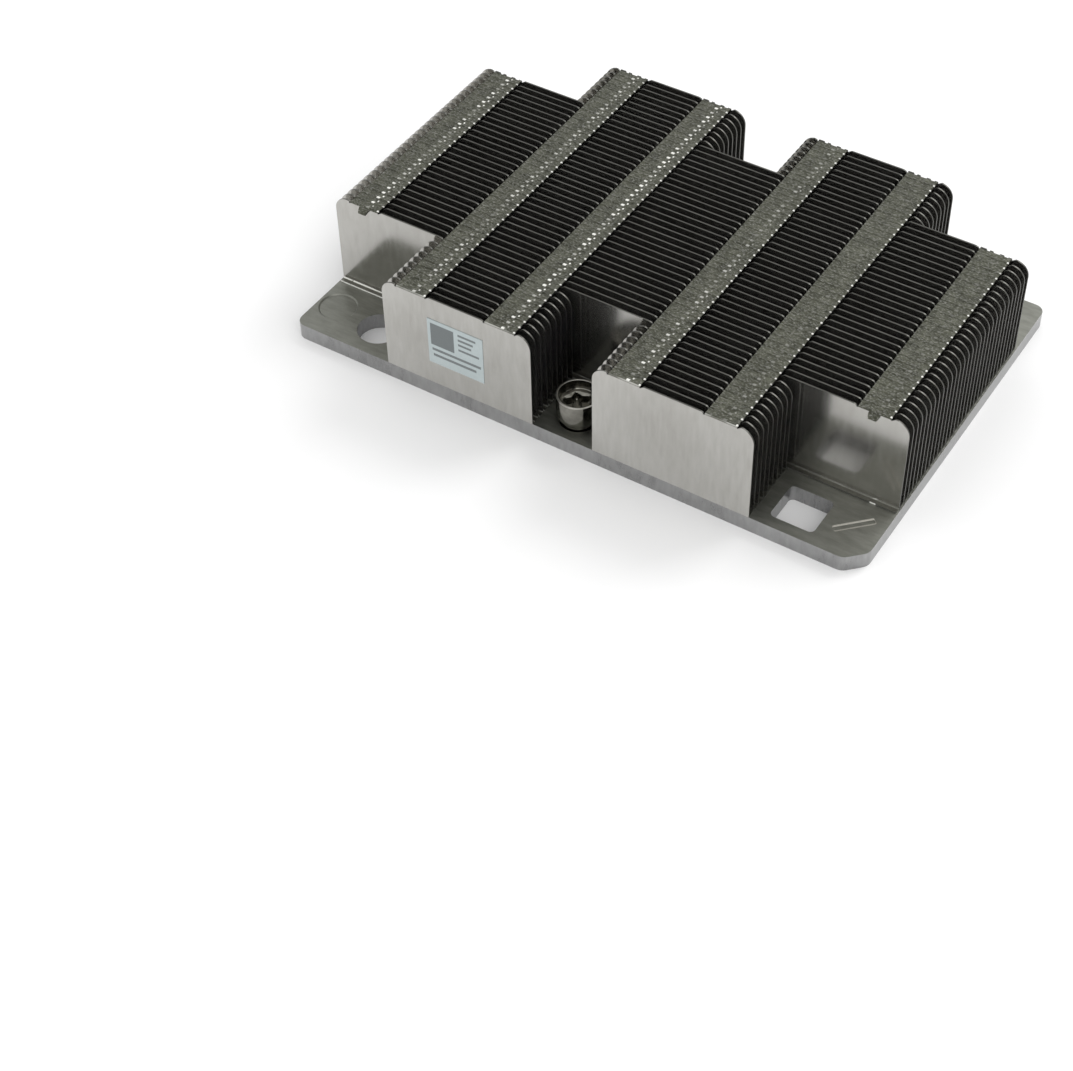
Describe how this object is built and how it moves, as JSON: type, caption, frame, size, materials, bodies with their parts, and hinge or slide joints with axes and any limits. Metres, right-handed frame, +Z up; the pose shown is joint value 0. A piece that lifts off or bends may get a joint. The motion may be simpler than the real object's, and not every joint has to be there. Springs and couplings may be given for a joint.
{
  "type": "processor heatsink",
  "caption": "Low passive processor heatsink: thin stamped fins zipped together on a flat base plate with two captive nuts and notched corners.",
  "frame": {"origin": "middle of the base plate's underside, the contact face", "axes": "+X along the fins (the long side), +Y from the labelled front to the rear, +Z up away from the contact face"},
  "size_m": [0.118, 0.0771, 0.0232],
  "materials": {
    "base_metal": "machined, dull",
    "fin_sheet": "bright rolled sheet",
    "nut_steel": "polished dark",
    "dark_steel": "blackened",
    "label_paper": "matt coated paper"
  },
  "bodies": {
    "heatsink": {"base_plate": "base_metal", "full_fin_01": "fin_sheet", "full_fin_02": "fin_sheet", "full_fin_03": "fin_sheet", "full_fin_04": "fin_sheet", "full_fin_05": "fin_sheet", "full_fin_06": "fin_sheet", "full_fin_07": "fin_sheet", "full_fin_08": "fin_sheet", "full_fin_09": "fin_sheet", "full_fin_10": "fin_sheet", "full_fin_11": "fin_sheet", "full_fin_12": "fin_sheet", "full_fin_13": "fin_sheet", "full_fin_14": "fin_sheet", "full_fin_15": "fin_sheet", "full_fin_16": "fin_sheet", "full_fin_17": "fin_sheet", "full_fin_18": "fin_sheet", "full_fin_19": "fin_sheet", "full_fin_20": "fin_sheet", "full_fin_21": "fin_sheet", "full_fin_22": "fin_sheet", "full_fin_23": "fin_sheet", "full_fin_24": "fin_sheet", "full_fin_25": "fin_sheet", "full_fin_26": "fin_sheet", "full_fin_27": "fin_sheet", "full_fin_28": "fin_sheet", "full_fin_29": "fin_sheet", "full_fin_30": "fin_sheet", "front_left_wing_fins": "fin_sheet", "front_right_wing_fins": "fin_sheet", "rear_left_wing_fins": "fin_sheet", "rear_right_wing_fins": "fin_sheet", "blank_label": "label_paper"},
    "front_nut": {"captive_nut_front": "nut_steel", "retaining_ring_front": "dark_steel"},
    "rear_nut": {"captive_nut_rear": "nut_steel", "retaining_ring_rear": "dark_steel"}
  },
  "joints": [
    {"name": "front_nut_spin", "type": "hinge", "parent": "heatsink", "child": "front_nut", "pos_m": [0, -0.033, 0.005], "axis": [0, 0, 1], "continuous": true},
    {"name": "rear_nut_spin", "type": "hinge", "parent": "heatsink", "child": "rear_nut", "pos_m": [0, 0.033, 0.005], "axis": [0, 0, 1], "continuous": true}
  ]
}
